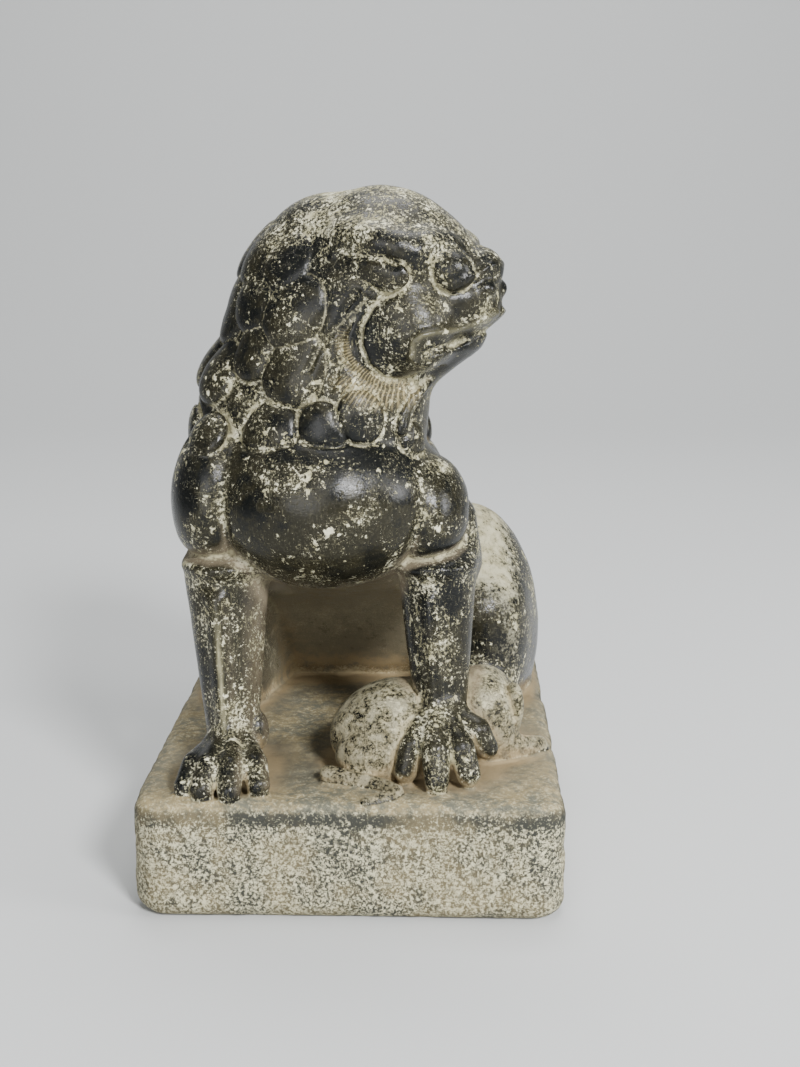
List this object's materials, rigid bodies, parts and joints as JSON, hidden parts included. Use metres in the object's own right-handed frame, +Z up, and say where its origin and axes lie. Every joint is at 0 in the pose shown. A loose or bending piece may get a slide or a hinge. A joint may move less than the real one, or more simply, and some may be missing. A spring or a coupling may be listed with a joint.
{
  "type": "stone lion figure",
  "caption": "Carved stone guardian lion seated upright on a thick rectangular slab, head turned aside, curled mane, one forepaw resting on a small cub.",
  "frame": {"origin": "centre of the slab's underside", "axes": "+Z up; the chest looks along -Y; +X is the side the head is turned to"},
  "size_m": [0.1124, 0.148, 0.1854],
  "materials": {
    "stone": "worn, low polish with pale encrustation"
  },
  "bodies": {
    "root": {"seated_lion": "stone"}
  },
  "joints": []
}
